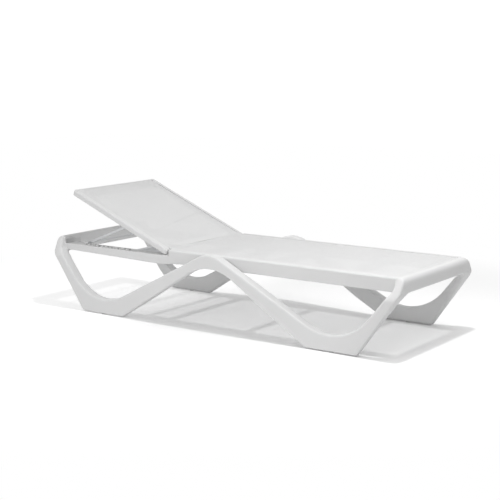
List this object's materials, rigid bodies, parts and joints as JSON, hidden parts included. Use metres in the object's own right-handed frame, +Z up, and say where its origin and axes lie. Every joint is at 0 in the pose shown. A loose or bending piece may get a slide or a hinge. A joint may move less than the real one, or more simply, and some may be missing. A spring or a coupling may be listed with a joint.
{
  "type": "sun lounger",
  "caption": "White garden sun lounger: wave-shaped moulded side frames, a woven mesh sling seat and a hinged mesh backrest propped in a toothed rack.",
  "frame": {"origin": "on the floor, under the middle of the lounger's box", "axes": "+Z up, +X to the foot end, -Y to the right-hand side of somebody lying on it"},
  "size_m": [1.92, 0.72, 0.5833],
  "materials": {
    "white_resin": "moulded, fine satin texture",
    "sling_mesh": "coated open weave",
    "hem_cord": "extruded",
    "glide_rubber": "smooth",
    "bush_nylon": "turned",
    "stay_metal": "powder coated",
    "steel_fittings": "zinc plated",
    "beam_metal": "powder coated"
  },
  "bodies": {
    "frame": {"calf_beam": "beam_metal", "foot_batten": "white_resin", "foot_cross_rail": "white_resin", "foot_left_glide": "glide_rubber", "foot_right_glide": "glide_rubber", "head_beam": "beam_metal", "head_cross_rail": "white_resin", "head_left_glide": "glide_rubber", "head_right_glide": "glide_rubber", "hinge_plate_screws": "steel_fittings", "hip_beam": "beam_metal", "left_hinge_pin": "steel_fittings", "left_hinge_plate": "steel_fittings", "left_rack": "white_resin", "left_seat_hem_rod": "hem_cord", "left_seat_rail": "white_resin", "left_side_frame": "white_resin", "lumbar_beam": "beam_metal", "rack_screws": "steel_fittings", "right_hinge_pin": "steel_fittings", "right_hinge_plate": "steel_fittings", "right_rack": "white_resin", "right_seat_hem_rod": "hem_cord", "right_seat_rail": "white_resin", "right_side_frame": "white_resin", "seat_sling": "sling_mesh"},
    "backrest": {"back_lower_rail": "white_resin", "back_sling": "sling_mesh", "back_top_hem_rod": "hem_cord", "back_top_rail": "white_resin", "left_back_hem_rod": "hem_cord", "left_back_rail": "white_resin", "left_hinge_bush": "bush_nylon", "left_stay_lugs": "steel_fittings", "left_stay_pin": "steel_fittings", "right_back_hem_rod": "hem_cord", "right_back_rail": "white_resin", "right_hinge_bush": "bush_nylon", "right_stay_lugs": "steel_fittings", "right_stay_pin": "steel_fittings"},
    "stay": {"left_stay_arm": "stay_metal", "right_stay_arm": "stay_metal", "stay_bar": "stay_metal"}
  },
  "joints": [
    {"name": "backrest_recline", "type": "hinge", "parent": "frame", "child": "backrest", "pos_m": [-0.285, 0, 0.3265], "axis": [0, 1, 0], "range_deg": [-22.5, 39]},
    {"name": "stay_fold", "type": "hinge", "parent": "backrest", "child": "stay", "pos_m": [-0.53907, 0, 0.43174], "axis": [0, 1, 0], "range_deg": [-78, 45]}
  ],
  "couplings": [
    {"joint": "stay_fold", "follows": "backrest_recline", "ratio": -2}
  ]
}
